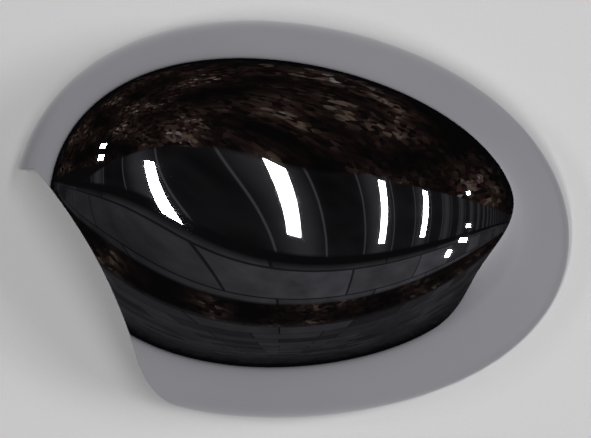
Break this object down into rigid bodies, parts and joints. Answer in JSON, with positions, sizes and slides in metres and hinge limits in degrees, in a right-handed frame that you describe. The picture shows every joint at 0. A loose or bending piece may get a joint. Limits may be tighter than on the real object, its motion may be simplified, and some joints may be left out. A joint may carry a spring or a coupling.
{
  "type": "wing mirror cover",
  "caption": "Egg-shaped chrome-plated cap for the back of a door mirror, hollow, cut away at the heel for the mirror's arm, with clip hooks and locating pegs inside.",
  "frame": {"origin": "middle of the cover's box on the rim plane", "axes": "+X towards the nose, +Y towards the upper edge, +Z out of the rim plane towards the crown"},
  "size_m": [0.1994, 0.144, 0.0675],
  "materials": {
    "chrome_plating": "bright decorative plating on moulded plastic, mirror smooth outside and duller inside"
  },
  "bodies": {
    "root": {"mirror_cover": "chrome_plating"}
  },
  "joints": []
}
